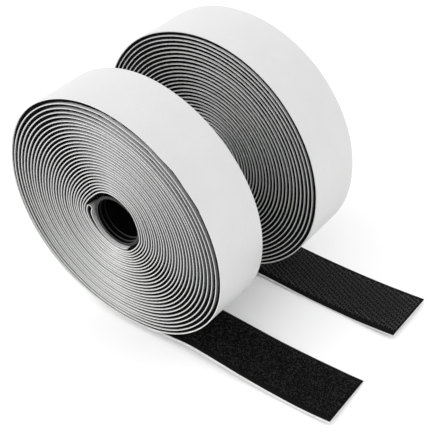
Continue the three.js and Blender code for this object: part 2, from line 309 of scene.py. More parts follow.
class Winding:
    """The path of one roll's tape, in mm and turns, with the roll's place in the frame."""

    def __init__(self, shape, layers, foot_name, tables):
        self.width = layers.width / MM
        self.radius = shape.radius / MM
        self.base_depth = (layers.liner + layers.adhesive + layers.fabric) / MM
        self.turns = shape.turns + layers.fold_place
        self.leg_turns = layers.folded_leg
        mean_pitch = (self.radius - shape.eye_radius / MM) / self.turns
        self.eye_pitch = 2 * mean_pitch / (1 + shape.pitch_ratio)
        self.rim_pitch = self.eye_pitch * shape.pitch_ratio
        self.eye_shift = np.array([shape.eye_forward, shape.eye_upward]) / MM
        self.bow = shape.bow / MM
        self.rim_length = FULL_TURN * self.radius
        self.end_length = shape.end_length / MM
        self.looseness = shape.looseness / MM
        self.slack_depth = shape.slack_depth / MM
        self.eye_bulge = shape.eye_bulge
        self.fold_skew = shape.fold_skew / MM
        self.end_skew = shape.end_skew / MM
        self.rim_shape, self.free_end, self.turn_rows, self.creases = tables
        self.fold_gap = LEG_GAPS[0]
        self.fold_turns = self.fold_gap / 2 / self.radius
        foot = next(mount["pos_m"] for mount in RECORD["mounts"] if mount["name"] == foot_name)
        cosine, sine = np.cos(shape.turned), np.sin(shape.turned)
        self.heading = np.array([[cosine, -sine], [sine, cosine]])
        self.origin = np.array(foot[:2]) / MM - self.heading[:, 1] * self.width / 2

    def spiral(self, turns):
        """Radius of the outer face: the turn spacing goes evenly from the rim's to the eye's, so the radius
        is a parabola in turns."""
        narrowing = (self.rim_pitch - self.eye_pitch) * turns**2 / (2 * self.turns)
        return self.radius - self.rim_pitch * turns + narrowing

    def length(self, along):
        """Length of tape from the foot: the spiral's radius summed over its angle."""
        wound = np.maximum(along, 0)
        narrowing = (self.rim_pitch - self.eye_pitch) * wound**3 / (6 * self.turns)
        coiled = self.radius * wound - self.rim_pitch * wound**2 / 2 + narrowing
        return np.minimum(along, 0) * self.rim_length + FULL_TURN * coiled

    def lean(self, turns):
        """How far a turn lies out of the spiral: a curve through each row's heights, and between two rows a
        share of both by the number of turns."""
        row_turns = [row[0] for row in self.turn_rows]
        count = len(self.turn_rows[0][1])
        places = np.arange(-1, count + 2) / count
        curves = np.stack([through(turns % 1, places, row[-1:] + row + row[:2]) for _, row in self.turn_rows])
        level = np.interp(turns, row_turns, np.arange(len(row_turns)))
        return sum(curve * np.maximum(1 - np.abs(level - i), 0) for i, curve in enumerate(curves))

    def creased(self, turns):
        """Height of the creases: each falls off to both sides as e to the power of less the distance."""
        return sum(height * np.exp(-np.abs(turns - place) / half) for place, height, half in self.creases)

    def outer(self, turns, across):
        """Radius with the winding's unevenness: the rows' shape, the shapes of the rim's near and far edge
        and of the eye, each fading as e to the power of less its distance, the creases of the near edge, and
        sine waves in the angle whose phase drifts inwards."""
        inwards = self.radius - self.spiral(turns)
        outwards = np.maximum(self.spiral(turns) - self.spiral(self.turns), 0)
        bulge = self.eye_bulge * through(turns % 1, EYE_PLACES, EYE_HEIGHTS)
        eye = bulge * np.exp(-((outwards / EYE_REACH) ** FADE_POWER))
        places, near, far = self.rim_shape
        side = across / self.width
        edge = through(turns % 1, places, near) * (1 - side) + through(turns % 1, places, far) * side
        edge = edge * np.exp(-((inwards / self.slack_depth) ** FADE_POWER)) + self.creased(turns) * (1 - side)
        waves = sum(
            size * np.sin(FULL_TURN * count * turns + phase + drift * inwards)
            for count, size, phase, drift in WAVES
        )
        loose = self.looseness * (np.exp(-inwards / WAVE_REACH) + WAVE_REST) * smooth_step(turns, 0, 0.12)
        return self.spiral(turns) + self.lean(turns) + edge + eye + loose * waves

    def centre(self, turns):
        """x and z of a turn's centre: on its way from the rim's to the eye's it bows out along a parabola."""
        part = turns / self.turns
        bowed = self.bow * 4 * part * (1 - part)
        return self.eye_shift[0] * part + bowed, self.radius + self.eye_shift[1] * part

    def wound(self, turns, across, depth):
        """x and z of a point in the winding: out from its turn's centre, along (-sin, -cos) of the angle from
        the foot."""
        angle = FULL_TURN * turns
        reach = self.outer(turns, across) - depth
        x, z = self.centre(turns)
        return x - reach * np.sin(angle), z - reach * np.cos(angle)

    def room(self, turns):
        """Depth from a turn's outer face to the next turn in: the lesser of the radii's differences at both
        edges, less the centre's shift along the radius."""
        angle = FULL_TURN * turns
        here, inwards = self.centre(turns), self.centre(turns + 1)
        shift = -(inwards[0] - here[0]) * np.sin(angle) - (inwards[1] - here[1]) * np.cos(angle)
        near, far = (self.outer(turns, edge) - self.outer(turns + 1, edge) for edge in (0, self.width))
        return np.minimum(near, far) - shift

    def leg_gap(self, back):
        """Room between the two backs of fabric at turns back from the fold."""
        return through(back, LEG_PLACES, LEG_GAPS)

    def folded(self, along, across, depth):
        """x and z on the folded inner end: half a circle about a point in the middle of the gap, then the
        winding's own curve followed back, one gap further in."""
        angle = FULL_TURN * self.turns
        out = np.array([-np.sin(angle), -np.cos(angle)])
        onwards = np.array([-np.cos(angle), np.sin(angle)])
        centre = np.array([0, self.radius]) + self.eye_shift
        pivot = centre + out * (self.outer(self.turns, self.width / 2) - self.base_depth - self.fold_gap / 2)
        arm = self.fold_gap / 2 + self.base_depth - depth
        swing = np.pi * np.clip((along - self.turns) / self.fold_turns, 0, 1)
        bend = [pivot[i] + arm * (np.cos(swing) * out[i] + np.sin(swing) * onwards[i]) for i in (0, 1)]
        back = np.clip(along - self.turns - self.fold_turns, 0, self.leg_turns)
        leg = self.wound(self.turns - back, across, 2 * self.base_depth - depth + self.leg_gap(back))
        on_leg = back > 0
        return np.where(on_leg, leg[0], bend[0]), np.where(on_leg, leg[1], bend[1])

    def end_height(self, x, across):
        """Height of the free end's outer face: a straight line across between the two edges' curves."""
        places, near, far = self.free_end
        side = across / self.width
        return through(x, places, near) * (1 - side) + through(x, places, far) * side

    def laid_out(self, along, across, depth):
        """x and z on the free end: the height curve, with depth square to its slope."""
        x = -np.minimum(along, 0) * self.rim_length
        step = 0.25
        rise = self.end_height(x + step, across) - self.end_height(np.maximum(x - step, 0), across)
        slope = rise / (step + np.minimum(x, step))
        slant = np.sqrt(1 + slope**2)
        return x - depth * slope / slant, self.end_height(x, across) + depth / slant

    def drift(self, along):
        """How far a turn lies off the others across the width: slow sines along the tape, none at the foot,
        the free end's slip, which fades over the first sixth of a turn, and the fold's slip, which grows over
        the last tenth of a turn and fades along the folded end."""
        turns = np.clip(along, 0, self.turns)
        waves = sum(size * np.sin(FULL_TURN * rate * turns + phase) for rate, size, phase in DRIFT_WAVES)
        back = along - self.turns - self.fold_turns
        slip = smooth_step(turns, self.turns - FOLD_SLIP_TURNS, self.turns)
        slip = slip * (1 - smooth_step(back, 0, self.leg_turns))
        end_slip = self.end_skew * (1 - smooth_step(turns, 0, END_SLIP_TURNS))
        return DRIFT_HEIGHT * waves * smooth_step(turns, 0, DRIFT_START) + end_slip + self.fold_skew * slip

    def place(self, along, across, depth):
        """Metres in the frame of points on the tape, over the free end, the winding and the folded end."""
        along, across, depth = np.broadcast_arrays(np.asarray(along, float), across, depth)
        wound = self.wound(np.clip(along, 0, self.turns), across, depth)
        folded = self.folded(np.maximum(along, self.turns), across, depth)
        laid = self.laid_out(along, across, depth)
        parts = [along < 0, along > self.turns]
        x, z = (np.select(parts, ways[:2], ways[2]) for ways in zip(laid, folded, wound))
        y = across + self.drift(along)
        flat = np.stack([x, y], -1) @ self.heading.T + self.origin
        return np.concatenate([flat, z[..., None]], -1) * MM

    def stations(self, per_turn, start, end, end_step=1.0):
        """Places along the tape: even steps on the free end, then per_turn to a turn, closer in the fold."""
        parts = []
        if start < 0:
            count = max(2, int(np.ceil(-start * self.rim_length / end_step)))
            parts.append(np.linspace(start, 0, count, endpoint=False))
        last = min(end, self.turns)
        parts.append(np.linspace(0, last, int(np.ceil(last * per_turn)), endpoint=end <= self.turns))
        if end > self.turns:
            parts.append(self.turns + self.fold_turns * np.linspace(0, 1, FOLD_STEPS, endpoint=False))
            steps = int(np.ceil(self.leg_turns * per_turn))
            parts.append(self.turns + self.fold_turns + np.linspace(0, self.leg_turns, steps))
        return np.concatenate(parts)

    @property
    def start(self):
        return -self.end_length / self.rim_length

    @property
    def end(self):
        return self.turns + self.fold_turns + self.leg_turns


# Meshes


def new_piece(name, points, faces, material, uv=None, sharp=40, wear_and_painted_light=None):
    """A mesh object at the origin, from points in metres and one array of faces for each number of corners.
    Its last argument, from 0 to 1 at each point, is kept for the material: painted shade on the tape's
    layers, and wear with a painted highlight on the cores."""
    corners = np.concatenate([face.ravel() for face in faces]).astype(np.int32)
    sizes = np.concatenate([np.full(len(face), face.shape[1]) for face in faces])
    mesh = bpy.data.meshes.new(name)
    mesh.vertices.add(len(points))
    mesh.vertices.foreach_set("co", points.astype(np.float32).ravel())
    mesh.loops.add(len(corners))
    mesh.loops.foreach_set("vertex_index", corners)
    mesh.polygons.add(len(sizes))
    mesh.polygons.foreach_set("loop_start", (np.cumsum(sizes) - sizes).astype(np.int32))
    mesh.polygons.foreach_set("use_smooth", np.ones(len(sizes), bool))
    if uv is not None:
        mesh.uv_layers.new(name="tape").data.foreach_set("uv", uv[corners].astype(np.float32).ravel())
    if wear_and_painted_light is not None:
        attribute = mesh.attributes.new("wear_and_painted_light", "FLOAT", "POINT")
        attribute.data.foreach_set("value", wear_and_painted_light.astype(np.float32).ravel())
    mesh.update(calc_edges=True)
    mesh.validate()
    mesh.set_sharp_from_angle(angle=np.radians(sharp))
    mesh.materials.append(material)
    piece = bpy.data.objects.new(name, mesh)
    bpy.context.scene.collection.objects.link(piece)
    return piece


def tube_faces(rings, corners):
    """Quads between neighbouring rings of points, and a face over each end ring."""
    ring = np.arange(rings - 1)[:, None] * corners
    k = np.arange(corners)[None]
    after = (k + 1) % corners
    quads = np.stack([ring + k, ring + corners + k, ring + corners + after, ring + after], -1).reshape(-1, 4)
    return [quads, np.arange(corners)[None], (rings - 1) * corners + np.arange(corners)[None, ::-1]]


def strip(name, winding, stations, across, depth, material, sharp=40):
    """A layer of the tape as one closed body: a ring of points (across, depth) carried along the stations.
    The value kept at each point for the material is painted shade. There is none on the outermost turn. It is
    most where a slot looks sideways, which leaves a painted highlight where slots look up and down. At the
    fold it is painted shadow, which fades towards the inner end's cut edge."""
    along = stations[:, None]
    across, depth = (np.broadcast_to(ring, (len(stations), np.shape(ring)[-1])) for ring in (across, depth))
    points = winding.place(along, across, depth)
    uv = np.stack(np.broadcast_arrays(winding.length(along), across), -1).reshape(-1, 2)
    # Painted shade: slots that look sideways are darkened against a painted highlight up and down, and the
    # fold is darkened as painted shadow
    upright = np.cos(2 * (FULL_TURN * along - UNSHADED_ANGLE))
    slot_shade = (0.5 - 0.5 * upright) ** SHADE_POWER * smooth_step(along, *SHADE_TURNS)
    back = along - winding.turns - winding.fold_turns
    fold_shade = 1 - smooth_step(back, -0.6 * winding.leg_turns, 0.8 * winding.leg_turns)
    wear_and_painted_light = np.broadcast_to(np.where(back < -winding.fold_turns, slot_shade, fold_shade), across.shape)
    return new_piece(name, points.reshape(-1, 3), tube_faces(*across.shape), material, uv, sharp, wear_and_painted_light)


def layer_ring(near, far, top, bottom, edge):
    """Across and depth round a flat layer whose long edges are eased by edge."""
    across = [near + edge, far - edge, far, far, far - edge, near + edge, near, near]
    depth = [top, top, top + edge, bottom - edge, bottom, bottom, bottom - edge, top + edge]
    return np.array(across), np.array(depth)


# Materials


def add(tree, kind, inputs=None, **settings):
    """A node with its settings, and each input set to a value or linked from a socket."""
    node = tree.nodes.new(kind)
    for key, value in settings.items():
        setattr(node, key, value)
    for key, value in (inputs or {}).items():
        if isinstance(value, bpy.types.NodeSocket):
            tree.links.new(value, node.inputs[key])
        else:
            node.inputs[key].default_value = value
    return node


def new_group(name, inputs, outputs):
    """An empty shader node group with named sockets: (name, kind, default)."""
    group = bpy.data.node_groups.new(name, "ShaderNodeTree")
    for label, kind, default in inputs:
        socket = group.interface.new_socket(name=label, in_out="INPUT", socket_type=kind)
        if default is not None:
            socket.default_value = default
    for label, kind in outputs:
        group.interface.new_socket(name=label, in_out="OUTPUT", socket_type=kind)
    return group, add(group, "NodeGroupInput"), add(group, "NodeGroupOutput")


def math_node(tree, operation, *values):
    """One step of arithmetic on values or sockets."""
    return add(tree, "ShaderNodeMath", dict(enumerate(values)), operation=operation).outputs[0]


def ranged(tree, value, low, high, start=0.0, end=1.0):
    """Carries a value evenly from between start and end to between low and high."""
    limits = {"From Min": start, "From Max": end, "To Min": low, "To Max": high}
    return add(tree, "ShaderNodeMapRange", {"Value": value, **limits}).outputs[0]


def mixed(tree, factor, first, second):
    """A colour mix whose factor is linked and whose two colours are values or sockets."""
    return add(tree, "ShaderNodeMix", {0: factor, 6: first, 7: second}, data_type="RGBA").outputs[2]


def gained(colour_value, gain):
    """The colour times a number, held to 1, as a shader's four numbers."""
    return tuple(min(1.0, part * gain) for part in colour_value) + (1.0,)


def tones(tree, factor, colour_value, dark, light):
    """The colour darkened and lightened by a factor from 0 to 1."""
    return mixed(tree, factor, gained(colour_value, dark), gained(colour_value, light))


def mottle_group():
    """Uneven tone: a coarse and a fine noise added, and sparse specks where a finer noise is high."""
    group, entry, out = new_group(
        "tape_mottle",
        [
            ("Place", "NodeSocketVector", None),
            ("Size", "NodeSocketFloat", 200.0),
            ("Speck size", "NodeSocketFloat", 2500.0),
        ],
        [("Tone", "NodeSocketFloat"), ("Specks", "NodeSocketFloat")],
    )
    place, size, speck_size = (entry.outputs[name] for name in ("Place", "Size", "Speck size"))
    inputs = {"Vector": place, "Scale": size, "Detail": 5.0, "Roughness": 0.6}
    coarse = add(group, "ShaderNodeTexNoise", inputs)
    fine = add(group, "ShaderNodeTexNoise", {"Vector": place, "Scale": speck_size, "Detail": 2.0})
    group.links.new(coarse.outputs[0], out.inputs["Tone"])
    group.links.new(ranged(group, fine.outputs[0], 0.0, 1.0, 0.66, 0.74), out.inputs["Specks"])
    return group


def weave_group():
    """Plain weave: the product of a sine along and a sine across, so threads pass over and under by turns."""
    group, entry, out = new_group(
        "tape_weave",
        [
            ("Place", "NodeSocketVector", None),
            ("Warp pitch", "NodeSocketFloat", 0.3),
            ("Weft pitch", "NodeSocketFloat", 0.35),
        ],
        [("Height", "NodeSocketFloat")],
    )
    parts = add(group, "ShaderNodeSeparateXYZ", {0: entry.outputs["Place"]})
    waves = []
    for axis, pitch in ((0, "Weft pitch"), (1, "Warp pitch")):
        turns = math_node(group, "DIVIDE", parts.outputs[axis], entry.outputs[pitch])
        waves.append(math_node(group, "SINE", math_node(group, "MULTIPLY", turns, np.pi)))
    height = math_node(group, "MULTIPLY_ADD", math_node(group, "MULTIPLY", *waves), 0.5, 0.5)
    group.links.new(height, out.inputs["Height"])
    return group


def use_group(tree, maker, name, inputs):
    """A shared effect placed in a material: its group is made once, by maker."""
    group = bpy.data.node_groups.get(name) or maker()
    return add(tree, "ShaderNodeGroup", inputs, node_tree=group).outputs


def mottle(tree, place, size, speck_size):
    """The uneven tone and the specks at two scales over the piece's own space."""
    inputs = {"Place": place.outputs["Object"], "Size": size, "Speck size": speck_size}
    return use_group(tree, mottle_group, "tape_mottle", inputs)


def weave(tree, place, warp_pitch, weft_pitch):
    """The plain weave on the tape's UV map, whose unit is 1 mm."""
    inputs = {"Place": place.outputs["UV"], "Warp pitch": warp_pitch, "Weft pitch": weft_pitch}
    return use_group(tree, weave_group, "tape_weave", inputs)


def new_material(name, roughness, specular):
    """A material with its Principled shader, the tree to add to and the node of its coordinates."""
    material = bpy.data.materials.new(name)
    material.use_nodes = True
    tree = material.node_tree
    shader = tree.nodes["Principled BSDF"]
    shader.inputs["Roughness"].default_value = roughness
    shader.inputs["Specular IOR Level"].default_value = specular
    return material, tree, shader, add(tree, "ShaderNodeTexCoord")


def finish(tree, shader, colour_socket, roughness=None, bump=None):
    """Links the colour, the roughness and a bump, given as its height, strength and distance in metres."""
    tree.links.new(colour_socket, shader.inputs["Base Color"])
    if roughness is not None:
        tree.links.new(roughness, shader.inputs["Roughness"])
    if bump is not None:
        inputs = dict(zip(("Height", "Strength", "Distance"), bump))
        tree.links.new(add(tree, "ShaderNodeBump", inputs).outputs[0], shader.inputs["Normal"])


def from_edge(tree, place):
    """Distance from the nearer edge of the tape, in mm, from the UV's across."""
    across = add(tree, "ShaderNodeSeparateXYZ", {0: place.outputs["UV"]}).outputs[1]
    return math_node(tree, "PINGPONG", across, HALF_WIDTH)


def painted_shade(tree, place, colour_socket, edge, inside):
    """Darkens a colour by the painted shade kept at each point: by the share edge on the cut edge, and by the
    share inside behind it.
    """
    wear_and_painted_light = add(tree, "ShaderNodeAttribute", attribute_name="wear_and_painted_light").outputs["Fac"]
    strength = ranged(tree, from_edge(tree, place), edge, inside, 0.05, 0.25)
    return mixed(tree, math_node(tree, "MULTIPLY", wear_and_painted_light, strength), colour_socket, (0.012, 0.012, 0.012, 1.0))


def liner_material(colours):
    material, tree, shader, place = new_material("white_release_film", 0.42, 0.4)
    tone, threads = mottle(tree, place, 60.0, 1800.0), weave(tree, place, 0.8, 0.9)
    even = tones(tree, tone["Tone"], colours.liner, 0.95, 1.05)
    dusty = mixed(tree, tone["Specks"], even, gained(colours.liner, 0.86))
    swell = math_node(tree, "MULTIPLY", tone["Tone"], 4.0)
    height = math_node(tree, "ADD", swell, math_node(tree, "MULTIPLY", threads["Height"], 0.06))
    roughness = ranged(tree, tone["Tone"], 0.34, 0.52)
    # Painted shade in the slots and painted shadow at the fold darken the film
    finish(tree, shader, painted_shade(tree, place, dusty, 0.1, 0.7), roughness, (height, 0.25, 0.0003))
    return material


def adhesive_material(colours):
    material, tree, shader, place = new_material("pale_adhesive_film", 0.35, 0.4)
    tone = mottle(tree, place, 700.0, 2600.0)
    even = tones(tree, tone["Tone"], colours.adhesive, 0.82, 1.16)
    dusty = mixed(tree, tone["Specks"], even, gained(colours.adhesive, 0.3))
    margin = ranged(tree, from_edge(tree, place), 0.0, 1.0, 0.07, 0.16)
    linty = mixed(tree, math_node(tree, "MULTIPLY", margin, 0.1), dusty, (*colours.lint, 1.0))
    roughness = ranged(tree, tone["Tone"], 0.25, 0.5)
    # Painted shade in the slots and painted shadow at the fold darken the film
    finish(tree, shader, painted_shade(tree, place, linty, 0.15, 0.7), roughness, (tone["Tone"], 0.4, 0.0001))
    return material


def fabric_material(colours):
    material, tree, shader, place = new_material("black_woven_nylon", 0.85, 0.08)
    tone, threads = mottle(tree, place, 900.0, 3000.0), weave(tree, place, 0.28, 0.34)
    even = tones(tree, tone["Tone"], colours.fabric, 0.5, 1.6)
    raised = mixed(tree, threads["Height"], even, gained(colours.fabric, 2.4))
    finish(tree, shader, raised, None, (threads["Height"], 0.8, 0.00012))
    return material


def pile_material(colours):
    material, tree, shader, place = new_material("black_napped_pile", 0.75, 0.06)
    tone = mottle(tree, place, 1400.0, 5200.0)
    even = tones(tree, tone["Tone"], colours.pile, 0.35, 1.9)
    lit = mixed(tree, tone["Specks"], even, gained(colours.pile, 4.0))
    finish(tree, shader, lit, None, (tone["Tone"], 0.7, 0.0003))
    return material


def filament_material(name, colour_value, roughness, specular):
    """Black nylon thread, of the loops or of the hooks."""
    material, tree, shader, place = new_material(name, roughness, specular)
    tone = mottle(tree, place, 500.0, 5200.0)
    even = tones(tree, tone["Tone"], colour_value, 0.5, 1.7)
    uneven = ranged(tree, tone["Tone"], roughness - 0.1, roughness + 0.15)
    finish(tree, shader, even, uneven, (tone["Tone"], 0.2, 0.0001))
    return material


def core_material(colours):
    material, tree, shader, place = new_material("black_moulded_plastic", 0.5, 0.06)
    tone = mottle(tree, place, 260.0, 2200.0)
    even = tones(tree, tone["Tone"], colours.core, 0.7, 1.4)
    wear_and_painted_light = add(tree, "ShaderNodeAttribute", attribute_name="wear_and_painted_light").outputs["Fac"]
    # Ends and edges turn lighter: partly scuff wear, partly a painted highlight, in the bore only on its lit
    # side
    worn_and_lit = math_node(tree, "MULTIPLY", wear_and_painted_light, ranged(tree, tone["Tone"], 0.3, 1.0))
    edged = mixed(tree, worn_and_lit, even, (*colours.core_edge, 1.0))
    scuffed = mixed(tree, tone["Specks"], edged, gained(colours.core, 3.0))
    finish(tree, shader, scuffed, ranged(tree, tone["Tone"], 0.34, 0.56), (tone["Tone"], 0.25, 0.0002))
    return material


def floor_material(colours):
    material, tree, shader, place = new_material("pale_floor", 0.9, 0.1)
    finish(tree, shader, tones(tree, mottle(tree, place, 6.0, 300.0)["Tone"], colours.floor, 0.995, 1.005))
    return material


MATERIAL_MAKERS = {
    "white_release_film": liner_material,
    "pale_adhesive_film": adhesive_material,
    "black_woven_nylon": fabric_material,
    "black_napped_pile": pile_material,
    "black_loop_thread": lambda colours: filament_material("black_loop_thread", colours.loops, 0.5, 0.35),
    "black_hook_thread": lambda colours: filament_material("black_hook_thread", colours.hooks, 0.35, 0.5),
    "black_moulded_plastic": core_material,
    "pale_floor": floor_material,
}


def finish_named(name):
    """The material of that name, made when it is first asked for."""
    return bpy.data.materials.get(name) or MATERIAL_MAKERS[name](bpy.context.scene.tape_colours)


# Pieces


def loop_winding(scene):
    """The path of the loop roll's tape, with the unevenness of a real roll."""
    rim = (LOOP_RIM_PLACES, LOOP_RIM_NEAR, LOOP_RIM_FAR)
    free_end = (LOOP_END_PLACES, LOOP_END_NEAR, LOOP_END_FAR)
    tables = (rim, free_end, LOOP_TURN_ROWS, LOOP_CREASES)
    return Winding(scene.loop_roll, scene.tape_layers, "loop_roll_foot", tables)


def hook_winding(scene):
    """The path of the hook roll's tape, whose turns lie evenly."""
    rim = (HOOK_RIM_PLACES, HOOK_RIM_NEAR, HOOK_RIM_FAR)
    free_end = (HOOK_END_PLACES, HOOK_END_NEAR, HOOK_END_FAR)
    return Winding(scene.hook_roll, scene.tape_layers, "hook_roll_foot", (rim, free_end, HOOK_TURN_ROWS, []))


def carried(piece, body, node=None):
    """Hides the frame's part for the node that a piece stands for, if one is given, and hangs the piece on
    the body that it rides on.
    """
    if node:
        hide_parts(node)
    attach(piece, body)
    return piece


def pile_face(winding, along):
    """Depth of the wound pile's inner face: up to the next turn in, up to half the gap at the folded end, and
    its own free height round the rest of the eye."""
    clearance, free_height, most = 0.02, 0.4, 1.2
    room = winding.room(np.clip(along, 0, winding.turns))
    pressed = np.minimum(room - clearance, winding.base_depth + most)
    back = np.where(along > winding.turns, along - winding.turns - winding.fold_turns, winding.turns - along)
    half = np.where(back < winding.leg_turns, winding.leg_gap(back) / 2 - clearance, free_height)
    free = winding.base_depth + np.minimum(half, free_height)
    return np.where(along > winding.turns - 1, free, pressed)


def wound_pile(name, winding, shape, rng, start):
    """What fills the slots between turns: a closed strip from the fabric to the next liner, whose two edges
    are ragged by a fine and a coarse random field."""
    end_step, least_inset, sunk = 0.6, 0.35, 0.02
    stations = winding.stations(PILE_STEPS, start, winding.end, end_step)
    count = len(stations)
    inset, ragged = shape.pile_inset / MM, shape.pile_ragged / MM
    fine, coarse = rough(rng, (count, 6), (1, 1)), rough(rng, (count, 1), (9, 1))
    edges = np.clip(inset + ragged * (0.6 * fine + 0.7 * coarse), least_inset, None)
    across = np.concatenate([edges[:, :1], winding.width - edges[:, 1:4], edges[:, 4:]], 1)
    top = np.full(count, winding.base_depth - sunk)
    face = pile_face(winding, stations)
    middle = (top + face) / 2
    depth = np.stack([top, top, middle, face, face, middle], 1)
    return strip(name, winding, stations, across, depth, finish_named("black_napped_pile"), 30)


def wind_roll(winding, shape, layers, kind, pile_start, seed):
    """The liner, adhesive, fabric and wound pile of one roll. The pile starts at pile_start, in turns. The
    tape's flat length is the spiral's and the free end's, and the folded end's at its mean radius."""
    width, base = winding.width, winding.base_depth
    liner = layers.liner / MM
    glued = liner + layers.adhesive / MM
    glue_inset, inset = layers.adhesive_inset / MM, shape.fabric_inset / MM
    stations = winding.stations(LAYER_STEPS, winding.start, winding.end)
    rings = {
        "liner": layer_ring(0, width, 0, liner, 0.04),
        "adhesive": layer_ring(glue_inset, width - glue_inset, liner, glued, 0.05),
        "tape": layer_ring(inset, width - inset, glued, base, 0.08),
    }
    for node, layer, finish_name, slot in (
        ("liner", "liner_film", "white_release_film", "liner"),
        ("adhesive", "adhesive_film", "pale_adhesive_film", "adhesive"),
        ("tape", "woven_base", "black_woven_nylon", "woven_tape"),
    ):
        piece = strip(f"{kind}_{layer}", winding, stations, *rings[node], finish_named(finish_name))
        carried(piece, "wound_tapes", f"{kind}_{node}")
    fold_radius = 12.5
    flat_length = float(winding.length(winding.turns) - winding.length(winding.start))
    flat_length += (winding.leg_turns + winding.fold_turns) * FULL_TURN * fold_radius
    fill = wound_pile(f"{kind}_wound_pile", winding, shape, np.random.default_rng(seed), pile_start)
    carried(fill, "wound_tapes")


def headroom(winding, x):
    """Height from the fabric of the free end to the turn above it, the lesser of both edges."""
    quarter = np.linspace(1, 0.75, 60)
    rooms = []
    for edge in (0, winding.width):
        reach, height = winding.wound(quarter, edge, 0)
        rooms.append(np.interp(x, reach, height, right=winding.radius) - winding.end_height(x, edge))
    return np.minimum(*rooms) - winding.base_depth


def planted(name, winding, roots, heading, profile, radii, material, sides=3):
    """Filaments rooted in the fabric. Each is a tube of a few sides along its own profile: arrays of steps
    forwards and up, turned to its heading, and laid over the tape by its three numbers."""
    forward, up, sideways = profile
    count, steps = forward.shape
    ahead = np.stack([np.cos(heading), np.sin(heading)], -1)
    aside = np.stack([-np.sin(heading), np.cos(heading)], -1)
    tangent = np.stack([np.gradient(forward, axis=1), np.gradient(up, axis=1)], -1)
    tangent /= np.linalg.norm(tangent, axis=-1, keepdims=True)
    angle = FULL_TURN * np.arange(sides) / sides
    side_part = np.cos(angle)[None, None] * radii[..., None]
    bend_part = np.sin(angle)[None, None] * radii[..., None]
    reach = forward[..., None] - tangent[..., 1:] * bend_part
    height = up[..., None] + tangent[..., :1] * bend_part
    aside_reach = sideways[..., None] + side_part
    flat = roots[:, None, None] + reach[..., None] * ahead[:, None, None]
    flat = flat + aside_reach[..., None] * aside[:, None, None]
    points = winding.place(-flat[..., 0] / winding.rim_length, flat[..., 1], winding.base_depth + height)
    grid = np.stack(np.meshgrid(np.arange(steps), np.arange(sides), indexing="ij"), -1)
    uv = np.tile(grid.reshape(-1, 2), (count, 1)).astype(float)
    one = tube_faces(steps, sides)
    offsets = np.arange(count)[:, None, None] * steps * sides
    # The tape's two measures are a mirrored pair on its free end, so the faces are turned about
    faces = [(part[None] + offsets).reshape(-1, part.shape[1])[:, ::-1] for part in one]
    return new_piece(name, points.reshape(-1, 3), faces, material, uv, 180)


def pile_mat(winding, pile, inset, rng):
    """The matted pile under the loops: a closed strip over the free end whose top is a random field, rounded
    down to the fabric at its edges."""
    spacing, hidden, cut_edge, gap, sunk, least = 0.42, 15, 0.0004, 0.1, 0.03, 0.06
    near, far = inset + pile.selvage / MM, winding.width - inset - pile.selvage / MM
    columns, rows = int((far - near) / spacing), int((winding.end_length - hidden) / spacing)
    stations = np.linspace(winding.start + cut_edge, -hidden / winding.rim_length, rows)
    across = np.linspace(near, far, columns)
    field = 0.55 * rough(rng, (rows, columns), (1, 1)) + 0.6 * rough(rng, (rows, columns), (3, 3))
    edge = smooth_step(np.minimum(across - near, far - across), 0, 0.9)[None] ** 0.6
    end = smooth_step((stations - stations[0]) * winding.rim_length, 0, 0.5)[:, None] * 0.8 + 0.2
    height = np.clip(pile.mat_height / MM * (1 + 0.33 * field), least, None) * edge * end
    above = headroom(winding, -stations * winding.rim_length)[:, None]
    height = np.minimum(height, np.maximum(above - gap, 0.05))
    ring_across = np.tile(np.concatenate([across[::-1], [near, far]]), (rows, 1))
    ring_across[:, :columns] += rng.uniform(-0.12, 0.12, (rows, columns))
    underside = np.full((rows, 2), winding.base_depth - sunk)
    depth = np.concatenate([winding.base_depth + height[:, ::-1], underside], 1)
    material = finish_named("black_napped_pile")
    return strip("loop_pile_mat", winding, stations, ring_across, depth, material, 60)


def free_loops(winding, pile, inset, rng):
    """Loops standing in the mat: each an arch, wider above than at its roots, leaning its own way."""
    count, steps = pile.loops, 8
    border = inset + pile.selvage / MM + 0.15
    first, last, gap = 16, winding.end_length - 0.5, 0.15
    along, across = rng.uniform(first, last, count), rng.uniform(border, winding.width - border, count)
    roots = np.stack([along, across], -1)
    tall = pile.loop_height / MM * rng.uniform(0.6, 1.15, count)
    tall = np.minimum(tall, np.maximum(headroom(winding, roots[:, 0]) - gap, 0.1))
    wide = rng.uniform(0.3, 0.75, count)
    lean = rng.normal(0, 0.35, count)
    sweep = np.linspace(0, np.pi, steps)[None]
    forward = -np.cos(sweep) * wide[:, None] / 2 * (1 + 0.5 * np.sin(sweep))
    up = np.sin(sweep) * tall[:, None]
    profile = (forward, up, lean[:, None] * up)
    radii = np.full((count, steps), pile.loop_thread / MM) * rng.uniform(0.75, 1.2, (count, 1))
    heading = rng.uniform(0, FULL_TURN, count)
    roots[:, 0] = np.minimum(roots[:, 0], winding.end_length - 0.6)
    material = finish_named("black_loop_thread")
    return planted("loop_pile_loops", winding, roots, heading, profile, radii, material)


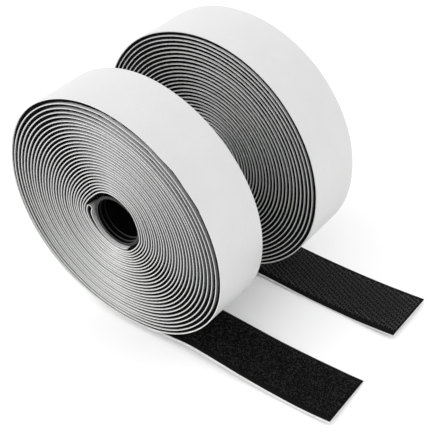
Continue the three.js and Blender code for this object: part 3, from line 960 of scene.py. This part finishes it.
def free_hooks(winding, pile, inset, rng):
    """Rows of hooks, every other row moved by half a space: a straight shank, then two thirds of a circle,
    facing left and right by turns."""
    spacing, row = pile.hook_spacing / MM, pile.hook_row / MM
    border = inset + pile.selvage / MM + 0.3
    first, last, gap, sunk = winding.end_length - 0.9, 6, 0.12, 0.05
    along = np.arange(first, last, -row)
    across = np.arange(border, winding.width - border, spacing)
    grid_along, grid_across = np.meshgrid(along, across, indexing="ij")
    row_number, place_number = np.arange(len(along))[:, None], np.arange(len(across))[None]
    grid_across = grid_across + row_number % 2 * spacing / 2
    facing = np.where((place_number + row_number // 2) % 2, 0.0, np.pi)
    inside = grid_across < winding.width - border
    roots = np.stack([grid_along[inside], grid_across[inside]], -1) + rng.normal(0, 0.05, (inside.sum(), 2))
    count = len(roots)
    tall = pile.hook_height / MM * rng.uniform(0.93, 1.05, count)
    tall = np.minimum(tall, np.maximum(headroom(winding, roots[:, 0]) - gap, 0.2))
    curl = (0.3 * tall / (pile.hook_height / MM))[:, None]
    shank = tall[:, None] - curl
    turn = np.radians(np.linspace(0, 215, 7))[None]
    forward = np.concatenate([np.zeros((count, 2)), curl * (1 - np.cos(turn))], 1)
    up = np.concatenate([np.full((count, 1), -sunk), shank * 0.55, shank + curl * np.sin(turn)], 1)
    thick = np.array([1.15, 1.0, 1.0, 1.0, 1.0, 1.0, 0.95, 0.85, 0.7]) * pile.hook_thread / MM
    radii = np.broadcast_to(thick, (count, len(thick)))
    heading = facing[inside] + rng.normal(0, 0.25, count) + 0.5
    profile = (forward, up, rng.normal(0, 0.08, (count, 1)) * up)
    material = finish_named("black_hook_thread")
    return planted("hook_rows", winding, roots, heading, profile, radii, material, 4)


def core_outline(core):
    """Half section of a core as (radius, y): every corner rounded to three points, with one more on each side
    where the edge's lighter mark, partly scuff wear and partly painted highlight, ends."""
    radius, half, wall, step = core.radius / MM, core.length / MM / 2, core.wall / MM, core.step / MM
    first, second, fillet = core.first_step / MM, core.second_step / MM, core.fillet / MM
    mouth = radius - wall
    one_end = [
        (mouth - 2 * step, half - second),
        (mouth - step, half - second),
        (mouth - step, half - first),
        (mouth, half - first),
        (mouth, half),
        (radius, half),
    ]
    corners = np.array(one_end + [(r, -y) for r, y in reversed(one_end)])
    to_before, to_after = np.roll(corners, 1, 0) - corners, np.roll(corners, -1, 0) - corners
    to_before /= np.linalg.norm(to_before, axis=1, keepdims=True)
    to_after /= np.linalg.norm(to_after, axis=1, keepdims=True)
    rounded, worn_and_lit = fillet, 1.7 * fillet
    middle = corners + (to_before + to_after) * fillet * 0.3
    steps = [corners + to_before * worn_and_lit, corners + to_before * rounded, middle]
    steps += [corners + to_after * rounded, corners + to_after * worn_and_lit]
    return np.stack(steps, 1).reshape(-1, 2)


def core_moulding(kind, core):
    """A core: its half section carried once round the joint's axis. The ends and the rounded edges are marked
    lighter, partly as scuff wear and partly as a painted highlight. In the bore the mark lies on one side
    only,
    as the square of a raised cosine: a painted highlight where the step edges face the light."""
    joint = next(joint for joint in RECORD["behaviour"]["joints"] if joint["name"] == f"{kind}_core_spin")
    centre, axis = np.array(joint["pos_m"]), np.array(joint["axis"])
    outline = core_outline(core) * MM
    count, sides = len(outline), 144
    up = np.array([0, 0, 1.0])
    angle = FULL_TURN * np.arange(sides) / sides
    out = np.cos(angle)[:, None, None] * np.cross(axis, up) + np.sin(angle)[:, None, None] * up
    points = centre + out * outline[None, :, :1] + axis * outline[None, :, 1:]
    k, i = np.meshgrid(np.arange(count), np.arange(sides))
    after, onwards = (k + 1) % count, (i + 1) % sides
    quads = np.stack([i * count + k, onwards * count + k, onwards * count + after, i * count + after], -1)
    quads = quads.reshape(-1, 4)
    edges = np.tile([0.0, 0.8, 1.0, 0.8, 0.0], count // 5)
    end_wear_and_highlight, tolerance = 0.45, 1e-6
    at_end = np.abs(outline[:, 1]) > core.length / 2 - tolerance
    bored = outline[:, 0] < core.radius - core.wall - tolerance
    # In the bore the edges are lighter on one side only: a painted highlight on the side facing the light
    bore_highlight = np.where(bored, (0.5 + 0.5 * np.cos(angle + np.pi / 4))[:, None] ** 2, 1.0)
    wear_and_painted_light = np.maximum(edges * bore_highlight, at_end * end_wear_and_highlight)
    name, material = f"{kind}_core_moulding", finish_named("black_moulded_plastic")
    piece = new_piece(name, points.reshape(-1, 3), [quads], material, None, 50, wear_and_painted_light)
    carried(piece, f"{kind}_core", f"{kind}_core")


# Operators


class TAPE_OT_wind_loop_roll(Operator):
    """Winds the loop tape: liner, adhesive, woven base and the pile in its slots"""

    bl_idname = "tape.wind_loop_roll"
    bl_label = "Wind Loop Roll"

    def execute(self, context):
        scene = context.scene
        wind_roll(loop_winding(scene), scene.loop_roll, scene.tape_layers, "loop", -0.052, 11)
        return {"FINISHED"}


class TAPE_OT_wind_hook_roll(Operator):
    """Winds the hook tape: liner, adhesive, woven base and the hooks in its slots"""

    bl_idname = "tape.wind_hook_roll"
    bl_label = "Wind Hook Roll"

    def execute(self, context):
        scene = context.scene
        wind_roll(hook_winding(scene), scene.hook_roll, scene.tape_layers, "hook", -0.03, 12)
        return {"FINISHED"}


class TAPE_OT_plant_loops(Operator):
    """Covers the loop tape's free end with matted pile and standing loops"""

    bl_idname = "tape.plant_loops"
    bl_label = "Plant Loops"

    def execute(self, context):
        scene = context.scene
        winding, inset = loop_winding(scene), scene.loop_roll.fabric_inset / MM
        rng = np.random.default_rng(21)
        for make in (pile_mat, free_loops):
            carried(make(winding, scene.pile, inset, rng), "wound_tapes")
        return {"FINISHED"}


class TAPE_OT_plant_hooks(Operator):
    """Sets rows of hooks on the hook tape's free end"""

    bl_idname = "tape.plant_hooks"
    bl_label = "Plant Hooks"

    def execute(self, context):
        scene = context.scene
        winding, inset = hook_winding(scene), scene.hook_roll.fabric_inset / MM
        piece = free_hooks(winding, scene.pile, inset, np.random.default_rng(31))
        carried(piece, "wound_tapes")
        return {"FINISHED"}


class TAPE_OT_mould_cores(Operator):
    """Turns the two plastic cores about their joints' axes"""

    bl_idname = "tape.mould_cores"
    bl_label = "Mould Cores"

    def execute(self, context):
        for kind in ("loop", "hook"):
            core_moulding(kind, context.scene.core)
        return {"FINISHED"}


class TAPE_OT_set_stage(Operator):
    """Lays the floor, lights it softly and sets the camera"""

    bl_idname = "tape.set_stage"
    bl_label = "Set Stage"

    def execute(self, context):
        scene = context.scene
        stage = scene.stage
        scene.view_settings.view_transform = "Standard"
        half, level = 4.0, -0.00005
        plan = ((-half, -half), (half, -half), (half, half), (-half, half))
        corners = np.array([(x, y, level) for x, y in plan])
        floor = new_piece("floor", corners, [np.array([[0, 1, 2, 3]])], finish_named("pale_floor"))
        world = bpy.data.worlds.new("soft_sky")
        world.use_nodes = True
        background = world.node_tree.nodes["Background"].inputs
        background["Color"].default_value = (1, 1, 1, 1)
        background["Strength"].default_value = stage.sky
        scene.world = world
        lamp = bpy.data.lights.new("soft_lamp", "AREA")
        lamp.energy, lamp.size = stage.lamp, 0.9
        lamp_object = bpy.data.objects.new("soft_lamp", lamp)
        scene.collection.objects.link(lamp_object)
        lamp_object.matrix_world = aimed((-0.75, -0.55, 1.0), (0, 0, 0.04))
        camera = bpy.data.cameras.new("camera")
        camera.sensor_fit, camera.sensor_width, camera.lens = "HORIZONTAL", 36, stage.focal_length
        camera.clip_start = 0.01
        camera_object = bpy.data.objects.new("camera", camera)
        scene.collection.objects.link(camera_object)
        camera_object.matrix_world = camera_matrix(stage)
        scene.camera = camera_object
        return {"FINISHED"}


def aimed(place, target):
    """A lamp's matrix: its own -Z points from place to target."""
    back = np.array(place, float) - np.array(target, float)
    back /= np.linalg.norm(back)
    right = np.cross([0, 0, 1.0], back)
    right /= np.linalg.norm(right)
    matrix = np.eye(4)
    matrix[:3, :3] = np.stack([right, np.cross(back, right), back], 1)
    matrix[:3, 3] = place
    return Matrix(matrix.tolist())


def camera_matrix(stage):
    """The camera looks along (sin yaw cos pitch, cos yaw cos pitch, -sin pitch), then rolls about it."""
    yaw, pitch, roll = stage.yaw, stage.pitch, stage.roll
    look = np.array([np.sin(yaw) * np.cos(pitch), np.cos(yaw) * np.cos(pitch), -np.sin(pitch)])
    right = np.array([np.cos(yaw), -np.sin(yaw), 0])
    up = np.cross(right, look)
    rolled_right = np.cos(roll) * right + np.sin(roll) * up
    rolled_up = np.cos(roll) * up - np.sin(roll) * right
    matrix = np.eye(4)
    matrix[:3, :3] = np.stack([rolled_right, rolled_up, -look], 1)
    matrix[:3, 3] = stage.camera_place
    return Matrix(matrix.tolist())


OPERATORS = (
    TAPE_OT_wind_loop_roll,
    TAPE_OT_wind_hook_roll,
    TAPE_OT_plant_loops,
    TAPE_OT_plant_hooks,
    TAPE_OT_mould_cores,
    TAPE_OT_set_stage,
)
PROPERTIES = {
    "tape_layers": TapeLayers,
    "loop_roll": LoopRollShape,
    "hook_roll": HookRollShape,
    "pile": PileSizes,
    "core": CoreSizes,
    "tape_colours": TapeColours,
    "stage": StageSettings,
}


class TAPE_PT_rolls(Panel):
    """The tape rolls' sizes, colours and steps"""

    bl_idname = "TAPE_PT_rolls"
    bl_label = "Tape Rolls"
    bl_space_type = "VIEW_3D"
    bl_region_type = "UI"
    bl_category = "Tape"

    def draw(self, context):
        for operator in OPERATORS:
            self.layout.operator(operator.bl_idname)
        for name, group in PROPERTIES.items():
            box = self.layout.box()
            box.label(text=name.replace("_", " ").capitalize())
            for key in group.__annotations__:
                box.prop(getattr(context.scene, name), key)


CLASSES = (*PROPERTIES.values(), *OPERATORS, TAPE_PT_rolls)


def register():
    for item in CLASSES:
        bpy.utils.register_class(item)
    for name, group in PROPERTIES.items():
        setattr(bpy.types.Scene, name, PointerProperty(type=group))


def unregister():
    for name in PROPERTIES:
        delattr(bpy.types.Scene, name)
    for item in reversed(CLASSES):
        bpy.utils.unregister_class(item)


def main():
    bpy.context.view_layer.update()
    register()
    bpy.ops.tape.wind_loop_roll()
    bpy.ops.tape.wind_hook_roll()
    bpy.ops.tape.plant_loops()
    bpy.ops.tape.plant_hooks()
    bpy.ops.tape.mould_cores()
    bpy.ops.tape.set_stage()


if __name__ == "__main__":
    main()
